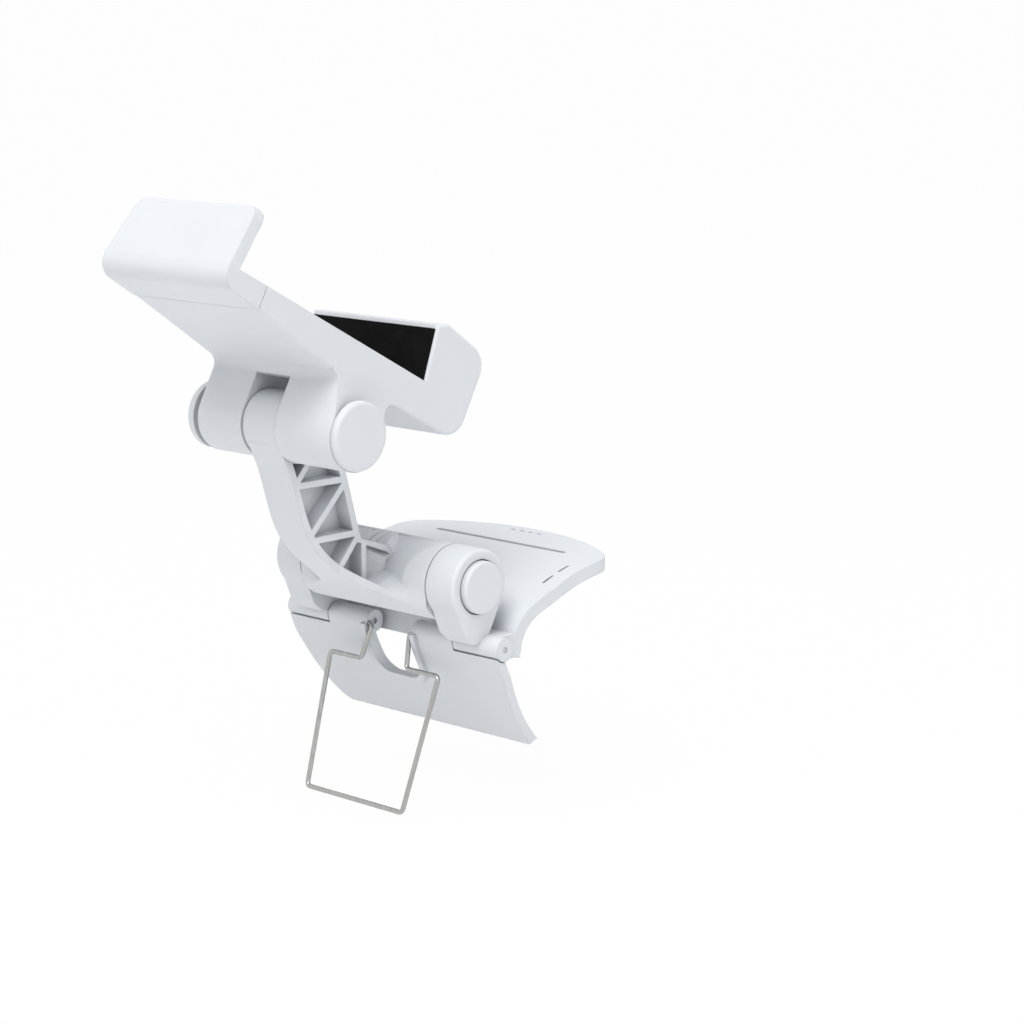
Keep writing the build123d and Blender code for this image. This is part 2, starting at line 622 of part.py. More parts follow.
# Clamp body: housing, fat lower jaw and two tilt knuckles
with BuildPart() as clamp_body:
    with BuildSketch(CLAMP.offset(-CLAMP_HALF)) as clamp_side:
        with BuildLine():
            Polyline((SEAM_S, PHONE_T), (SEAM_S, SEAM_BACK_T), (SLOPE_END_S, BACK_T),
                     (JAW_END_S, BACK_T), (JAW_END_S, JAW_FALL_T), JAW_RIDGE,
                     (JAW_S - JAW_LEAN, JAW_LIP_T), (JAW_S, PHONE_T), close=True)
        make_face()
        fillet(clamp_side.vertices().group_by(Axis.X)[-1], JAW_BEND_R)
        fillet(clamp_side.vertices().sort_by_distance(JAW_RIDGE)[0], JAW_RIDGE_R)
    extrude(amount=2 * CLAMP_HALF)
    rim_edges = clamp_body.faces().filter_by(Axis.X).edges()
    fillet(rim_edges.filter_by(outer_edge), CLAMP_EDGE)
    # Channel for the slider, under the cover
    channel_mid_t = (CHANNEL_FLOOR_T + COVER_T) / 2
    block(CLAMP, (CHANNEL_END_S - SEAM_S, COVER_T - CHANNEL_FLOOR_T),
          ((CHANNEL_END_S + SEAM_S) / 2, channel_mid_t), -CHANNEL_HALF, CHANNEL_HALF,
          Mode.SUBTRACT)
    block(CLAMP, (CHANNEL_END_S - ANCHOR_S, COVER_T - CHANNEL_FLOOR_T),
          ((CHANNEL_END_S + ANCHOR_S) / 2, channel_mid_t), GAP - TONGUE_IN, TONGUE_IN - GAP)
    block(CLAMP, (JAW_S - SEAM_S, COVER_WALL),
          ((JAW_S + SEAM_S) / 2, PHONE_T - COVER_WALL / 2), -COVER_HALF, COVER_HALF,
          Mode.SUBTRACT)
    # Pad recess in the jaw
    pad_strip(LOWER_FACE, 0, PAD_DEPTH, CLAMP_HALF - PAD_RIM, Mode.SUBTRACT)
    block(CLAMP, (2 * KNUCKLE_R, KNUCKLE_RECESS_T - BACK_T),
          (0, (KNUCKLE_RECESS_T + BACK_T) / 2), -KNUCKLE_IN, KNUCKLE_IN, Mode.SUBTRACT)
    add(knuckles.part)
    crown(TILT, -KNUCKLE_IN, -KNUCKLE_IN + TOOTH_H, 1)
    bar(TILT, BUTTON_R + GAP, -KNUCKLE_LEFT, -KNUCKLE_IN - WEB_WALL, Mode.SUBTRACT)
    leg_windows(TILT, -KNUCKLE_IN, -KNUCKLE_IN - WEB_WALL)
    bar(TILT, AXLE_R + SNUG, -KNUCKLE_IN - WEB_WALL, KNUCKLE_RIGHT, Mode.SUBTRACT)
    # Screw holes
    with BuildSketch(FACE.offset(COVER_T)):
        with Locations(*SCREW_SPOTS):
            Circle(SCREW_R)
    extrude(amount=-SCREW_DEPTH, mode=Mode.SUBTRACT)
clamp_body.part.label = "clamp_body"
export_step(clamp_body.part, "parts/clamp_body.step")

# Steel axle, round cap and push disc of the upper hinge
with BuildPart() as tilt_axle:
    bar(TILT, AXLE_R, -KNUCKLE_IN - WEB_WALL, KNUCKLE_RIGHT)
tilt_axle.part.label = "tilt_axle"
export_step(tilt_axle.part, "parts/tilt_axle.step")

with BuildPart() as tilt_cap:
    bar(TILT, CAP_R, KNUCKLE_RIGHT, KNUCKLE_RIGHT + CAP_WALL)
    fillet(tilt_cap.faces().sort_by(Axis.X)[-1].edges(), CAP_EDGE)
tilt_cap.part.label = "tilt_cap"
export_step(tilt_cap.part, "parts/tilt_cap.step")

with BuildPart() as tilt_button:
    disc_in = -KNUCKLE_LEFT - NECK_LENGTH
    push_button(TILT, disc_in, TILT_SHOULDER, GAP - KNUCKLE_IN + TOOTH_H)
    bar(TILT, CAP_R, disc_in - DISC_LENGTH, disc_in)
    fillet(tilt_button.faces().sort_by(Axis.X)[0].edges(), CAP_EDGE)
tilt_button.part.label = "tilt_button"
export_step(tilt_button.part, "parts/tilt_button.step")

# Locking ring and spring of the upper hinge
with BuildPart() as tilt_gear:
    tilt_ring_rear = locking_ring(TILT, -ARM_HALF, -1)
tilt_gear.part.label = "tilt_gear"
export_step(tilt_gear.part, "parts/tilt_gear.step")

tilt_foot = RING_SOCKET + SPRING_LENGTH - ARM_HALF
tilt_spring = coil((tilt_foot, *TILT), (-1, 0, 0), SPRING_R, SPRING_WIRE,
                   tilt_foot - tilt_ring_rear - 2 * RUN, SPRING_TURNS)
tilt_spring.label = "tilt_spring"
export_step(tilt_spring, "parts/tilt_spring.step")

# Cover on the phone side of the clamp, with a shallow recess for its rubber sheet
pad_mid_s = (SEAM_S + JAW_S) / 2
pad_length = JAW_S - SEAM_S - 7.0
with BuildPart() as clamp_cover:
    block(CLAMP, (JAW_S - SEAM_S - 0.1, COVER_WALL), (pad_mid_s, COVER_T + COVER_WALL / 2),
          RUN - COVER_HALF, COVER_HALF - RUN)
    block(CLAMP, (pad_length, 1.4), (pad_mid_s, PHONE_T), -CHANNEL_HALF + 1, CHANNEL_HALF - 1,
          Mode.SUBTRACT)
    with Locations(*[FACE.offset(PHONE_T).location * Pos(*spot) for spot in SCREW_SPOTS]):
        CounterSinkHole(SCREW_R, SCREW_HEAD_R)
clamp_cover.part.label = "clamp_cover"
export_step(clamp_cover.part, "parts/clamp_cover.step")

with BuildPart() as back_pad:
    block(CLAMP, (pad_length - 0.2, 0.9), (pad_mid_s, PHONE_T - 0.25), 1.1 - CHANNEL_HALF,
          CHANNEL_HALF - 1.1)
back_pad.part.label = "back_pad"
export_step(back_pad.part, "parts/back_pad.step")

with BuildPart() as cover_screws:
    with BuildSketch(FACE.offset(PHONE_T - 0.05)):
        with Locations(*SCREW_SPOTS):
            Circle(SCREW_HEAD_R - 0.05)
    extrude(amount=-(SCREW_HEAD_R - SCREW_R), taper=45)
    with BuildSketch(FACE.offset(PHONE_T - 0.5)):
        with Locations(*SCREW_SPOTS):
            Circle(SCREW_R - 0.03)
    extrude(amount=-(SCREW_DEPTH + COVER_WALL - 0.7))
    with BuildSketch(FACE.offset(PHONE_T)):
        with Locations(*SCREW_SPOTS):
            Rectangle(2.2, 0.5)
            Rectangle(0.5, 2.2)
    extrude(amount=-0.6, mode=Mode.SUBTRACT)
cover_screws.part.label = "cover_screws"
export_step(cover_screws.part, "parts/cover_screws.step")


# Rubber on the lower jaw
with BuildPart() as lower_jaw_pad:
    pad_strip(LOWER_FACE, -PAD_PROUD, PAD_DEPTH, CLAMP_HALF - PAD_RIM - RUN)
lower_jaw_pad.part.label = "lower_jaw_pad"
export_step(lower_jaw_pad.part, "parts/lower_jaw_pad.step")

# Sliding jaw: head with a leaning lip, two tongues and the bar that the springs pull on
with BuildPart() as sliding_jaw:
    with BuildSketch(CLAMP.offset(-CLAMP_HALF)) as jaw_side:
        with BuildLine():
            Polyline((SEAM_S - SEAM_GAP, PHONE_T), *UPPER_FACE, (HEEL_S + LIP_LEAN, LIP_TIP_T),
                     (HEEL_S, PHONE_T), (HEEL_S, HEEL_T), (SEAM_S - SEAM_GAP, SEAM_BACK_T),
                     close=True)
        make_face()
        fillet(jaw_side.vertices().sort_by_distance((HEEL_S, HEEL_T))[0], HEEL_BEND_R)
        fillet(jaw_side.vertices().group_by(Axis.Y)[-1], LIP_EDGE)
    extrude(amount=2 * CLAMP_HALF)
    with BuildSketch(LOOK.offset(-SEAM_S)) as jaw_look:
        with BuildLine():
            Polyline((-CLAMP_HALF, 0), (-CLAMP_HALF, PHONE_T), (-LIP_HALF, LIP_TIP_T),
                     (LIP_HALF, LIP_TIP_T), (CLAMP_HALF, PHONE_T), (CLAMP_HALF, 0), close=True)
        make_face()
        fillet(jaw_look.vertices().group_by(Axis.Y)[-1], LIP_CORNER)
    extrude(amount=30, mode=Mode.INTERSECT)
    pad_strip(UPPER_FACE, 0, -PAD_DEPTH, LIP_HALF - LIP_PAD_RIM, Mode.SUBTRACT)
    tongue_t = (CHANNEL_FLOOR_T + COVER_T) / 2
    tongue_wall = COVER_T - CHANNEL_FLOOR_T - 2 * GAP
    tongue_mid = (SEAM_S - 2 + TONGUE_END_S) / 2
    block(CLAMP, (TONGUE_END_S - SEAM_S + 2, tongue_wall), (tongue_mid, tongue_t), TONGUE_IN,
          TONGUE_OUT)
    block(CLAMP, (TONGUE_END_S - SEAM_S + 2, tongue_wall), (tongue_mid, tongue_t), -TONGUE_OUT,
          -TONGUE_IN)
    block(CLAMP, (DRAW_BAR_WALL, tongue_wall), (DRAW_BAR_S - DRAW_BAR_WALL / 2, tongue_t),
          -TONGUE_IN, TONGUE_IN)
sliding_jaw.part.label = "sliding_jaw"
export_step(sliding_jaw.part, "parts/sliding_jaw.step")

with BuildPart() as upper_jaw_pad:
    pad_strip(UPPER_FACE, PAD_PROUD, -PAD_DEPTH, LIP_HALF - LIP_PAD_RIM - RUN)
upper_jaw_pad.part.label = "upper_jaw_pad"
export_step(upper_jaw_pad.part, "parts/upper_jaw_pad.step")

# Tension springs of the sliding jaw
draw_springs = []
for side in (-1, 1):
    start = CLAMP.from_local_coords((DRAW_BAR_S + 0.1, tongue_t, side * DRAW_SPRING_X))
    draw_springs.append(coil(start, CLAMP.x_dir, DRAW_SPRING_R, DRAW_SPRING_WIRE,
                             ANCHOR_S - DRAW_BAR_S - 0.2, 8))
jaw_springs = Compound(label="jaw_springs", children=draw_springs)
export_step(jaw_springs, "parts/jaw_springs.step")

# Front plate: curved jaw with a notch, a rim round the notch and two knuckles
with BuildPart() as notch_rim:
    with BuildSketch(SIDE.offset(-PLATE_LOW_HALF)):
        add(strip(PLATE_LINE, -NOTCH_RIM_RISE, PLATE_WALL / 2))
    extrude(amount=2 * PLATE_LOW_HALF)
    with BuildSketch(Plane.XZ.offset(-30)):
        RectangleRounded(2 * (NOTCH_HALF + NOTCH_RIM), 2 * (NOTCH_DEPTH + NOTCH_RIM),
                         NOTCH_CORNER + NOTCH_RIM)
    extrude(amount=60, mode=Mode.INTERSECT)

with BuildPart() as front_plate:
    with BuildSketch(SIDE.offset(-PLATE_TOP_HALF)):
        add(strip(PLATE_LINE, 0, PLATE_WALL))
    extrude(amount=2 * PLATE_TOP_HALF)
    with BuildSketch(Plane.XZ.offset(-30)) as plate_look:
        with BuildLine():
            Polyline((-PLATE_TOP_HALF, PLATE_TOP_Z), (-PLATE_TOP_HALF, PLATE_SHOULDER_Z),
                     (-PLATE_LOW_HALF, PLATE_END_Z), (PLATE_LOW_HALF, PLATE_END_Z),
                     (PLATE_TOP_HALF, PLATE_SHOULDER_Z), (PLATE_TOP_HALF, PLATE_TOP_Z),
                     close=True)
        make_face()
        fillet(plate_look.vertices().group_by(Axis.Y)[0], PLATE_CORNER)
    extrude(amount=60, mode=Mode.INTERSECT)
    add(notch_rim.part)
    for side in (-1, 1):
        bar(PIN, EYE_R, side * NOTCH_HALF, side * BARREL_HALF)
        bar(PIN, EYE_R + GAP, side * BARREL_HALF, side * (EYE_END + 1), Mode.SUBTRACT)
        block(SIDE, (4 * EYE_R, 2 * EYE_R), (0, PLATE_CREST_Z + EYE_R), side * BARREL_HALF,
              side * (EYE_END + 1), Mode.SUBTRACT)
        bar(PIN, CLIP_SPRING_BORE, side * (NOTCH_HALF + BEARING), side * BARREL_HALF,
            Mode.SUBTRACT)
    with BuildSketch(Plane.XZ.offset(-30)):
        RectangleRounded(2 * NOTCH_HALF, 2 * NOTCH_DEPTH, NOTCH_CORNER)
    extrude(amount=60, mode=Mode.SUBTRACT)
    for side in (-1, 1):
        bar(PIN, PIN_R + RUN, side * NOTCH_HALF, side * BARREL_HALF, Mode.SUBTRACT)
        bar(STAND_PIVOT, STAND_WIRE_R + RUN, side * NOTCH_HALF,
            side * (NOTCH_HALF + STAND_HOLE_DEPTH), Mode.SUBTRACT)
front_plate.part.label = "front_plate"
export_step(front_plate.part, "parts/front_plate.step")

with BuildPart() as plate_pad:
    with BuildSketch(SIDE.offset(-PAD_HALF)):
        add(strip(PLATE_LINE, PLATE_WALL, PLATE_WALL + PAD_WALL))
        with Locations((0, (PLATE_PAD_Z[0] + PLATE_PAD_Z[1]) / 2)):
            Rectangle(60, PLATE_PAD_Z[1] - PLATE_PAD_Z[0], mode=Mode.INTERSECT)
    extrude(amount=2 * PAD_HALF)
plate_pad.part.label = "plate_pad"
export_step(plate_pad.part, "parts/plate_pad.step")

coils = []
for side in (-1, 1):
    foot_x = side * (NOTCH_HALF + BEARING + 0.1)
    coils.append(coil((foot_x, *PIN), (side, 0, 0), CLIP_SPRING_R, CLIP_SPRING_WIRE,
                      BARREL_HALF - NOTCH_HALF - BEARING - 0.3, 6))
clip_springs = Compound(label="clip_springs", children=coils)
export_step(clip_springs, "parts/clip_springs.step")

# Wire stand
lean = radians(STAND_LEAN)
stand_plane = Plane((0, *STAND_PIVOT), x_dir=(1, 0, 0), z_dir=(0, cos(lean), -sin(lean)))
tip = NOTCH_HALF + STAND_HOLE_DEPTH - 0.1
right = [(tip, 0), (STAND_NECK, 0), (STAND_NECK + STAND_SPREAD, STAND_DROP),
         (STAND_SHOULDER, STAND_DROP), (STAND_FOOT, STAND_LENGTH)]
left = [(-x, drop) for x, drop in reversed(right)]
with BuildPart() as wire_stand:
    with BuildLine(stand_plane) as bend:
        FilletPolyline(*right, *left, radius=STAND_BEND_R)
    with BuildSketch(Plane(bend.line @ 0, z_dir=bend.line % 0)):
        Circle(STAND_WIRE_R)
    sweep()
wire_stand.part.label = "wire_stand"
export_step(wire_stand.part, "parts/wire_stand.step")
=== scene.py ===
import math

import bpy
from mathutils import Matrix, Vector
from mathutils.bvhtree import BVHTree


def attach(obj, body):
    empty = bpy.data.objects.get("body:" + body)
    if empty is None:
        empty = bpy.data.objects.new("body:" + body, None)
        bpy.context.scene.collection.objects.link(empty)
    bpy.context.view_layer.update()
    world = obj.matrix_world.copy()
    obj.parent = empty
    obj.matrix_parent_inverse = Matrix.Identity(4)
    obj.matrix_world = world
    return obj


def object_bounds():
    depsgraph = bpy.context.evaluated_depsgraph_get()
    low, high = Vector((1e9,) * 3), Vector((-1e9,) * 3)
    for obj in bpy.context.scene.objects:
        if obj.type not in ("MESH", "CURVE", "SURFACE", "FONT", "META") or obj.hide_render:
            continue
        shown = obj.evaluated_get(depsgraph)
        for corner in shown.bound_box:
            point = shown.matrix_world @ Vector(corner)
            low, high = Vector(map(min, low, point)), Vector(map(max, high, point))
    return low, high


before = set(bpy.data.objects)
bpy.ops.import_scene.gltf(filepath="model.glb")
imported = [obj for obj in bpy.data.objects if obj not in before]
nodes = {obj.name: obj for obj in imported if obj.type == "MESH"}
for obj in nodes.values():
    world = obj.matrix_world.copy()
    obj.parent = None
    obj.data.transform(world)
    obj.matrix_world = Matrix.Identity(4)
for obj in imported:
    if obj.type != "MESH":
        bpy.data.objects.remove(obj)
cad_low, cad_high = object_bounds()
scene = bpy.context.scene

# Where each material goes
PLASTIC_NODES = ["saddle", "arm", "clamp_body", "sliding_jaw", "front_plate", "clamp_cover",
                 "tilt_cap", "tilt_button", "arm_button", "pivot_cap"]
RING_NODES = ["arm_gear", "tilt_gear"]
RUBBER_NODES = ["lower_jaw_pad", "upper_jaw_pad", "back_pad", "saddle_pad", "plate_pad"]
STEEL_NODES = ["hinge_pins", "arm_axle", "tilt_axle", "cover_screws"]
WIRE_NODES = ["wire_stand"]
SPRING_NODES = ["arm_spring", "tilt_spring", "jaw_springs", "clip_springs"]


# Materials

def new_material(name, colour, metallic=0.0):
    """A material whose shader has its constant values on its own sockets."""
    made = bpy.data.materials.new(name)
    made.use_nodes = True
    shader = made.node_tree.nodes["Principled BSDF"]
    shader.inputs["Base Color"].default_value = (*colour, 1.0)
    shader.inputs["Metallic"].default_value = metallic
    return made, made.node_tree, shader


def object_coords(tree, scale=(1.0, 1.0, 1.0)):
    """Coordinates in metres in the object's own space, stretched by a scale."""
    coords = tree.nodes.new("ShaderNodeTexCoord")
    mapping = tree.nodes.new("ShaderNodeMapping")
    mapping.inputs["Scale"].default_value = scale
    tree.links.new(coords.outputs["Object"], mapping.inputs["Vector"])
    return mapping.outputs["Vector"]


def noise(tree, vector, scale, detail=3.0, roughness=0.5):
    """A noise pattern; its scale is in features per metre."""
    texture = tree.nodes.new("ShaderNodeTexNoise")
    texture.inputs["Scale"].default_value = scale
    texture.inputs["Detail"].default_value = detail
    texture.inputs["Roughness"].default_value = roughness
    tree.links.new(vector, texture.inputs["Vector"])
    return texture.outputs["Fac"]


def spread(tree, value, low, high):
    """A 0 to 1 pattern brought into a range."""
    ramp = tree.nodes.new("ShaderNodeMapRange")
    ramp.inputs["From Min"].default_value = 0.3
    ramp.inputs["From Max"].default_value = 0.7
    ramp.inputs["To Min"].default_value = low
    ramp.inputs["To Max"].default_value = high
    tree.links.new(value, ramp.inputs["Value"])
    return ramp.outputs["Result"]


def tint(tree, value, dark, light):
    """A colour between two close shades, chosen by a pattern."""
    ramp = tree.nodes.new("ShaderNodeValToRGB")
    ramp.color_ramp.elements[0].position = 0.3
    ramp.color_ramp.elements[0].color = (*dark, 1.0)
    ramp.color_ramp.elements[1].position = 0.7
    ramp.color_ramp.elements[1].color = (*light, 1.0)
    tree.links.new(value, ramp.inputs["Fac"])
    return ramp.outputs["Color"]


def bump(tree, shader, height, depth, edge=0.0):
    """Relief of a depth in metres, over edges rounded by a radius."""
    node = tree.nodes.new("ShaderNodeBump")
    node.inputs["Strength"].default_value = 1.0
    node.inputs["Distance"].default_value = depth
    tree.links.new(height, node.inputs["Height"])
    tree.links.new(node.outputs["Normal"], shader.inputs["Normal"])
    if edge:
        soft = tree.nodes.new("ShaderNodeBevel")
        soft.samples = 6
        soft.inputs["Radius"].default_value = edge
        tree.links.new(soft.outputs["Normal"], node.inputs["Normal"])


def painted_corner_shade(tree, colour, reach, kept):
    """Painted shade: a colour that darkens in narrow corners, down to a kept share in the deepest.
    """
    corner = tree.nodes.new("ShaderNodeAmbientOcclusion")
    corner.samples = 8
    corner.inputs["Distance"].default_value = reach
    depth = tree.nodes.new("ShaderNodeMapRange")
    depth.inputs["From Min"].default_value = 0.25
    depth.inputs["From Max"].default_value = 0.9
    depth.inputs["To Min"].default_value = kept
    depth.inputs["To Max"].default_value = 1.0
    tree.links.new(corner.outputs["AO"], depth.inputs["Value"])
    scaled = tree.nodes.new("ShaderNodeVectorMath")
    scaled.operation = "SCALE"
    tree.links.new(colour, scaled.inputs[0])
    tree.links.new(depth.outputs["Result"], scaled.inputs["Scale"])
    return scaled.outputs["Vector"]


def moulded_plastic(name, dark, light, roughness):
    """Spark-eroded matte plastic: fine even grain and slight changes of gloss, with painted shade
    in narrow corners.
    """
    made, tree, shader = new_material(name, light)
    coords = object_coords(tree)
    patches = tint(tree, noise(tree, coords, scale=60.0, detail=2.0), dark, light)
    # Painted shade: the base colour is darkened in narrow corners and crevices
    tree.links.new(painted_corner_shade(tree, patches, reach=0.005, kept=0.7),
                   shader.inputs["Base Color"])
    gloss = spread(tree, noise(tree, coords, scale=900.0), roughness - 0.05, roughness + 0.05)
    tree.links.new(gloss, shader.inputs["Roughness"])
    shader.inputs["IOR"].default_value = 1.46
    grain = noise(tree, coords, scale=4200.0, roughness=0.6)
    bump(tree, shader, grain, depth=0.000012, edge=0.0004)
    return made


def moulded_rubber(name, colour, light):
    """Black rubber with a dull, slightly uneven skin."""
    made, tree, shader = new_material(name, colour)
    shader.inputs["Specular IOR Level"].default_value = 0.06
    coords = object_coords(tree)
    tree.links.new(tint(tree, noise(tree, coords, scale=250.0), colour, light),
                   shader.inputs["Base Color"])
    tree.links.new(spread(tree, noise(tree, coords, scale=700.0), low=0.62, high=0.75),
                   shader.inputs["Roughness"])
    bump(tree, shader, noise(tree, coords, scale=2600.0), depth=0.00002)
    return made


def drawn_metal(name, dark, light, roughness, along):
    """Steel with fine drawing lines; along stretches the lines' pattern."""
    made, tree, shader = new_material(name, light, 1.0)
    coords = object_coords(tree, along)
    lines = noise(tree, coords, scale=1500.0, detail=4.0)
    tree.links.new(tint(tree, lines, dark, light), shader.inputs["Base Color"])
    tree.links.new(spread(tree, lines, roughness - 0.05, roughness + 0.07),
                   shader.inputs["Roughness"])
    bump(tree, shader, lines, depth=0.000006)
    return made


white_plastic = moulded_plastic("white_plastic", (0.745, 0.775, 0.81), (0.765, 0.795, 0.83),
                                roughness=0.5)
grey_plastic = moulded_plastic("grey_plastic", (0.10, 0.105, 0.11), (0.13, 0.135, 0.14),
                               roughness=0.4)
rubber = moulded_rubber("black_rubber", (0.004, 0.004, 0.004), (0.007, 0.007, 0.0075))
steel = drawn_metal("steel", (0.50, 0.50, 0.51), (0.60, 0.60, 0.61),
                    roughness=0.3, along=(0.15, 1.0, 1.0))
wire = drawn_metal("bright_wire", (0.38, 0.38, 0.375), (0.48, 0.48, 0.47),
                   roughness=0.2, along=(1.0, 1.0, 0.12))
spring = drawn_metal("spring_steel", (0.36, 0.36, 0.37), (0.46, 0.46, 0.47),
                     roughness=0.32, along=(1.0, 1.0, 1.0))

for names, material in ((PLASTIC_NODES, white_plastic), (RING_NODES, grey_plastic),
                        (RUBBER_NODES, rubber), (STEEL_NODES, steel), (WIRE_NODES, wire),
                        (SPRING_NODES, spring)):
    for name in names:
        mesh = nodes[name].data
        mesh.materials.clear()
        mesh.materials.append(material)


# Smooth flank of the lower hinge's barrel: one shallow trough on either side of the arm, over
# the CAD part's deeper scoop. Lengths are millimetres. Turns are degrees around the hinge, from
# the direction of +Y upwards and over the front.

HINGE = (-2.8, 15.2)
ARM_HALF = 5.6
BARREL_R = 9.35
PROBE_R = 60.0

# The skin: its span and grid, its thickness and how far it lies outside the CAD part
FLANK_SPAN = (1.5, 22.15)
FLANK_TURN = (86.0, 239.0)
SPAN_STEPS = 70
SPAN_CROWDING = 1.15
TURN_STEPS = 102
FACE_STEP = 0.02
SKIN = 0.4
LIFT = 0.03
SINK_WIDTH = 3.0
SINK_TURN = 8.0

# Edge of the fan by distance from the middle, and how it rises from the barrel
FAN_EDGE = [(10.0, 188.5), (13.5, 196.0), (17.2, 206.5), (22.2, 218.0)]
FAN_RISE = 26.0
FAN_R = 11.0

# The trough's ridge on the right, its lower border and its depth
RIDGE = [(86.0, 20.4), (101.0, 21.0), (127.0, 21.6), (150.0, 21.1), (172.0, 18.8), (194.0, 15.5),
         (240.0, 9.0)]
RIDGE_WIDTH = 17.0
RIDGE_POWER = 2.1
TROUGH_LOW = [(5.6, 186.0), (10.0, 190.0), (15.5, 195.0), (22.2, 200.0)]
LOW_WIDTH = 24.0
LOW_POWER = 2
TROUGH_DEPTH = [(86.0, 0.0), (101.0, 1.4), (129.0, 2.6), (150.0, 2.8), (168.0, 3.2), (200.0, 4.2)]

# Hollow corner between the trough and the arm, which ends inside the arm's ledge, rib and flange
WALL_START = [(86.0, 3.4), (101.0, 3.8), (124.0, 4.8), (134.0, 2.4), (240.0, 2.4)]
WALL_WIDTH = [(86.0, 2.0), (124.0, 3.0), (134.0, 6.0), (240.0, 6.0)]
WALL_POWER = 3
RIB_REACH = 13.6
LEDGE_REACH = 4.65
LEDGE_TURN = 72.4
LEDGE_END_TURN = 160.0
HALF_FLANGE = 0.9
LEAST_COSINE = 0.2


def between(table, value):
    """The value of a table of pairs at a place between its rows."""
    for (left, low), (right, high) in zip(table, table[1:]):
        if value <= right:
            share = within((value - left) / (right - left))
            return low + (high - low) * share
    return table[-1][1]


def within(share):
    """A share kept between 0 and 1."""
    return min(1.0, max(0.0, share))


def eased(share):
    """A share kept between 0 and 1, with soft ends."""
    share = within(share)
    return share * share * (3.0 - 2.0 * share)


def flank_point(x, turn, reach):
    """The point at a radius around the lower hinge, in metres."""
    angle = math.radians(turn)
    y = HINGE[0] + reach * math.cos(angle)
    z = HINGE[1] + reach * math.sin(angle)
    return Vector((x, y, z)) / 1000


def part_radius(tree, x, turn):
    """Radius of the CAD part's outside in one direction around the lower hinge."""
    far = flank_point(x, turn, PROBE_R)
    inward = (flank_point(x, turn, 0.0) - far).normalized()
    place, _, _, distance = tree.ray_cast(far, inward)
    return PROBE_R - distance * 1000 if place else 0.0


def full_radius(x, turn, sheet):
    """Radius of the barrel and the fan, before the trough is taken out.

    The skin rises out of the fan's sheet, from below it at the arm and at its lower end.
    """
    edge = between(FAN_EDGE, x)
    if turn >= edge:
        shown = min(1.0, (x - ARM_HALF) / SINK_WIDTH, (FLANK_TURN[1] - turn) / SINK_TURN)
        return between(sheet, turn) + LIFT * (3.0 * shown - 2.0)
    rise = between(sheet, edge) - BARREL_R
    return BARREL_R + rise * (1.0 - eased((edge - turn) / FAN_RISE))


def frame_radius(turn, sheet):
    """Radius to the middle of the arm's ledge, end rib or lower flange."""
    rib = RIB_REACH / max(LEAST_COSINE, -math.cos(math.radians(turn)))
    if turn < LEDGE_END_TURN:
        slant = math.cos(math.radians(turn - LEDGE_TURN))
        return max(BARREL_R, min(rib, LEDGE_REACH / max(LEAST_COSINE, slant)))
    return max(BARREL_R, min(rib, between(sheet, turn) - HALF_FLANGE))


def flank_radius(x, turn, sheet, tree):
    """Radius of the finished flank."""
    full = full_radius(x, turn, sheet)
    from_ridge = within((between(RIDGE, turn) - x) / RIDGE_WIDTH)
    from_low = within((between(TROUGH_LOW, x) - turn) / LOW_WIDTH)
    sunk = (1.0 - (1.0 - from_ridge) ** RIDGE_POWER) * (1.0 - (1.0 - from_low) ** LOW_POWER)
    radius = full - between(TROUGH_DEPTH, turn) * sunk
    inner = frame_radius(turn, sheet)
    into_wall = 1.0 - (x - between(WALL_START, turn)) / between(WALL_WIDTH, turn)
    wall = within(into_wall) ** WALL_POWER
    if x > ARM_HALF:
        radius += max(0.0, min(inner, full) - radius) * wall
        if turn >= between(FAN_EDGE, x):
            return radius
        outside = part_radius(tree, x, turn) + LIFT
        return max(radius, outside) if outside < FAN_R else radius
    floor = min(radius, inner)
    return floor + (inner - floor) * wall


def grid_radii():
    """Distances from the middle, turns, and the flank's radius at each pair of them."""
    arm = nodes["arm"].data
    tree = BVHTree.FromPolygons([vertex.co for vertex in arm.vertices],
                                [tuple(face.vertices) for face in arm.polygons])
    first, last = FLANK_TURN
    turns = [first + (last - first) * step / TURN_STEPS for step in range(TURN_STEPS + 1)]
    sheet = [(turn, part_radius(tree, 0.0, turn) + LIFT) for turn in turns]
    near, far = FLANK_SPAN
    spots = [near + (far - near) * (step / SPAN_STEPS) ** SPAN_CROWDING
             for step in range(SPAN_STEPS + 1)]
    spots = sorted(spots + [ARM_HALF - FACE_STEP, ARM_HALF + FACE_STEP])
    radii = [[flank_radius(x, turn, sheet, tree) for turn in turns] for x in spots]
    return spots, turns, radii


def skin_faces(start, long, wide):
    """Faces of one closed skin, whose outer grid of points is followed by its inner one."""
    depth = long * wide
    made = []
    for row in range(long - 1):
        for column in range(wide - 1):
            a = start + row * wide + column
            made.append((a, a + 1, a + wide + 1, a + wide))
            made.append((a + depth + wide, a + depth + wide + 1, a + depth + 1, a + depth))
    rim = [start + column for column in range(wide)]
    rim += [start + row * wide + wide - 1 for row in range(1, long)]
    rim += [start + (long - 1) * wide + column for column in range(wide - 2, -1, -1)]
    rim += [start + row * wide for row in range(long - 2, 0, -1)]
    for here, after in zip(rim, rim[1:] + rim[:1]):
        made.append((after, here, here + depth, after + depth))
    return made


